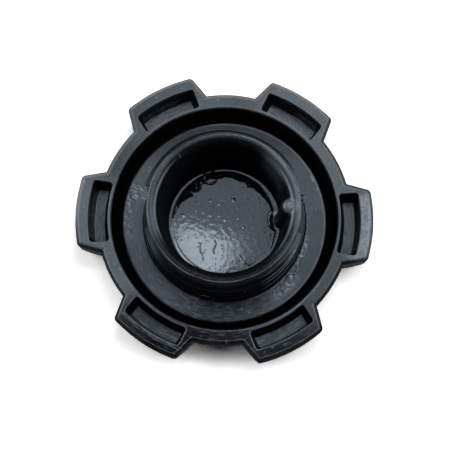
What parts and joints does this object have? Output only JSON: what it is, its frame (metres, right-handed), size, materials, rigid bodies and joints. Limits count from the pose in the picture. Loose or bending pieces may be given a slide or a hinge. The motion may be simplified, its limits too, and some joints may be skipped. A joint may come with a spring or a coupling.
{
  "type": "oil filler cap",
  "caption": "Black moulded screw cap for an engine oil filler: lugged round crown, ring groove, flat rubber gasket and a hollow neck with a coarse outside thread, lying on its crown.",
  "frame": {"origin": "centre of the crown's flat outer face, which the cap lies on", "axes": "+Z along the neck's axis from the crown towards the open lip, +X through the middle of a lug"},
  "size_m": [0.0666, 0.0636, 0.0206],
  "materials": {
    "cap_plastic": "black glass-filled nylon, fine satin grain, lightly oiled and scuffed",
    "gasket_rubber": "smooth black rubber with a satin oily sheen"
  },
  "bodies": {
    "root": {"cap_body": "cap_plastic", "sealing_gasket": "gasket_rubber"}
  },
  "joints": []
}
